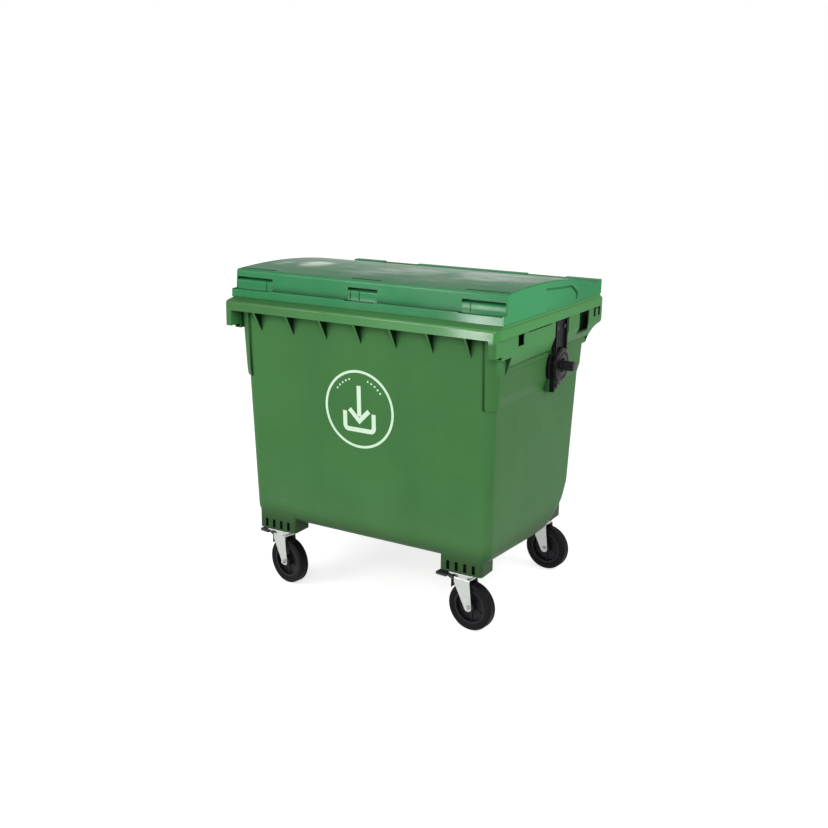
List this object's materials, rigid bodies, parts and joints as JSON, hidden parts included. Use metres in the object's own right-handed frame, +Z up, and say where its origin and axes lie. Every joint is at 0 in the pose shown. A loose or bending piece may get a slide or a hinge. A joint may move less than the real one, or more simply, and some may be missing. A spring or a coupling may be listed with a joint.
{
  "type": "waste container",
  "caption": "Large wheeled waste container with a flat hinged lid, lifting pins on the sides and swivel castors, the front ones braked",
  "frame": {"origin": "on the floor under the middle of the container", "axes": "+X to the right seen from the front, +Y to the rear where the lid is hinged, +Z up; the front looks along -Y"},
  "size_m": [1.37, 1.044, 1.3771],
  "materials": {
    "body_green": "injection-moulded polyethylene with a soft sheen",
    "lid_green": "injection-moulded polyethylene, a little bluer and glossier than the tub",
    "black_plastic": "black glass-filled plastic",
    "black_paint": "black coated steel",
    "zinc": "bright zinc-plated pressed steel",
    "rubber": "black rubber",
    "tyre": "solid black rubber tyre",
    "wheel_centre": "dark moulded wheel centre"
  },
  "bodies": {
    "container": {"container_body": "body_green", "hinge_pin_left": "zinc", "hinge_pin_right": "zinc", "drain_seal": "rubber", "drain_plug": "black_plastic", "lifting_bracket_left": "black_plastic", "lifting_bracket_right": "black_plastic", "lifting_pin_left": "black_paint", "lifting_pin_right": "black_paint", "bracket_bolts_left": "black_paint", "bracket_bolts_right": "black_paint", "front_left_castor_plate": "zinc", "front_left_plate_bolts": "zinc", "front_left_upper_race": "zinc", "front_left_kingpin": "zinc", "front_right_castor_plate": "zinc", "front_right_plate_bolts": "zinc", "front_right_upper_race": "zinc", "front_right_kingpin": "zinc", "rear_left_castor_plate": "zinc", "rear_left_plate_bolts": "zinc", "rear_left_upper_race": "zinc", "rear_left_kingpin": "zinc", "rear_right_castor_plate": "zinc", "rear_right_plate_bolts": "zinc", "rear_right_upper_race": "zinc", "rear_right_kingpin": "zinc"},
    "lid": {"lid": "lid_green"},
    "front_left_swivel": {"front_left_fork": "zinc", "front_left_axle_bolt": "zinc", "front_left_axle_nut": "zinc", "front_left_axle_sleeve": "zinc", "front_left_brake_pin": "zinc"},
    "front_left_wheel": {"front_left_wheel_rim": "wheel_centre", "front_left_tyre": "tyre"},
    "front_left_brake": {"front_left_brake_pedal": "black_plastic", "front_left_brake_shoe": "rubber"},
    "front_right_swivel": {"front_right_fork": "zinc", "front_right_axle_bolt": "zinc", "front_right_axle_nut": "zinc", "front_right_axle_sleeve": "zinc", "front_right_brake_pin": "zinc"},
    "front_right_wheel": {"front_right_wheel_rim": "wheel_centre", "front_right_tyre": "tyre"},
    "front_right_brake": {"front_right_brake_pedal": "black_plastic", "front_right_brake_shoe": "rubber"},
    "rear_left_swivel": {"rear_left_fork": "zinc", "rear_left_axle_bolt": "zinc", "rear_left_axle_nut": "zinc", "rear_left_axle_sleeve": "zinc"},
    "rear_left_wheel": {"rear_left_wheel_rim": "wheel_centre", "rear_left_tyre": "tyre"},
    "rear_right_swivel": {"rear_right_fork": "zinc", "rear_right_axle_bolt": "zinc", "rear_right_axle_nut": "zinc", "rear_right_axle_sleeve": "zinc"},
    "rear_right_wheel": {"rear_right_wheel_rim": "wheel_centre", "rear_right_tyre": "tyre"}
  },
  "joints": [
    {"name": "lid_hinge", "type": "hinge", "parent": "container", "child": "lid", "pos_m": [0, 0.478, 1.303], "axis": [-1, 0, 0], "range_deg": [0, 208]},
    {"name": "front_left_swivel_turn", "type": "hinge", "parent": "container", "child": "front_left_swivel", "pos_m": [-0.449, -0.373, 0.23], "axis": [0, 0, 1], "continuous": true},
    {"name": "front_left_wheel_spin", "type": "hinge", "parent": "front_left_swivel", "child": "front_left_wheel", "pos_m": [-0.41578, -0.38024, 0.1], "axis": [0.213, 0.977, 0], "continuous": true},
    {"name": "front_left_brake_press", "type": "hinge", "parent": "front_left_swivel", "child": "front_left_brake", "pos_m": [-0.47049, -0.36831, 0.201], "axis": [-0.213, -0.977, 0], "range_deg": [0, 8]},
    {"name": "front_right_swivel_turn", "type": "hinge", "parent": "container", "child": "front_right_swivel", "pos_m": [0.449, -0.373, 0.23], "axis": [0, 0, 1], "continuous": true},
    {"name": "front_right_wheel_spin", "type": "hinge", "parent": "front_right_swivel", "child": "front_right_wheel", "pos_m": [0.48279, -0.37679, 0.1], "axis": [0.1115, 0.9938, 0], "continuous": true},
    {"name": "front_right_brake_press", "type": "hinge", "parent": "front_right_swivel", "child": "front_right_brake", "pos_m": [0.42714, -0.37055, 0.201], "axis": [-0.1115, -0.9938, 0], "range_deg": [0, 8]},
    {"name": "rear_left_swivel_turn", "type": "hinge", "parent": "container", "child": "rear_left_swivel", "pos_m": [-0.449, 0.373, 0.23], "axis": [0, 0, 1], "continuous": true},
    {"name": "rear_left_wheel_spin", "type": "hinge", "parent": "rear_left_swivel", "child": "rear_left_wheel", "pos_m": [-0.41533, 0.37773, 0.1], "axis": [-0.1392, 0.9903, 0], "continuous": true},
    {"name": "rear_right_swivel_turn", "type": "hinge", "parent": "container", "child": "rear_right_swivel", "pos_m": [0.449, 0.373, 0.23], "axis": [0, 0, 1], "continuous": true},
    {"name": "rear_right_wheel_spin", "type": "hinge", "parent": "rear_right_swivel", "child": "rear_right_wheel", "pos_m": [0.48278, 0.36915, 0.1], "axis": [0.1132, 0.9936, 0], "continuous": true}
  ]
}
